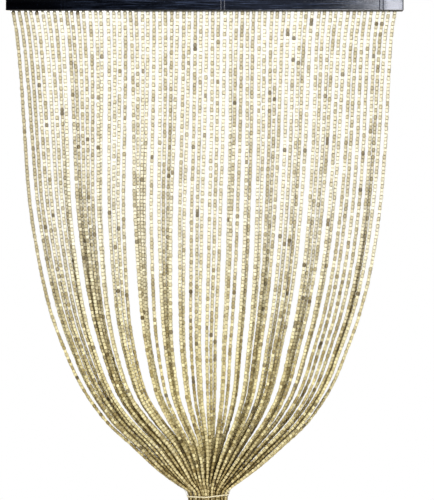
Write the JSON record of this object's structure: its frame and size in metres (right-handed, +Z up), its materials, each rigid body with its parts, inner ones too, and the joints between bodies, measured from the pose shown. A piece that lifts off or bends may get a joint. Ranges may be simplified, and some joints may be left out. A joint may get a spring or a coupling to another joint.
{
  "type": "bead curtain with rail",
  "caption": "Door curtain of bamboo bead strands that hang from a glossy black rail, drawn together low down and tied with a thin cord.",
  "frame": {"origin": "middle of the rail's top face", "axes": "+X along the rail, +Y towards the back, +Z up"},
  "size_m": [0.9, 0.0816, 1.8295],
  "materials": {
    "black_paint": "glossy black paint over bamboo grain",
    "bamboo_beads": "satin",
    "tie_cord": "matt twisted cord"
  },
  "bodies": {
    "root": {"rail": "black_paint", "strands": "bamboo_beads", "tie": "tie_cord"}
  },
  "joints": []
}
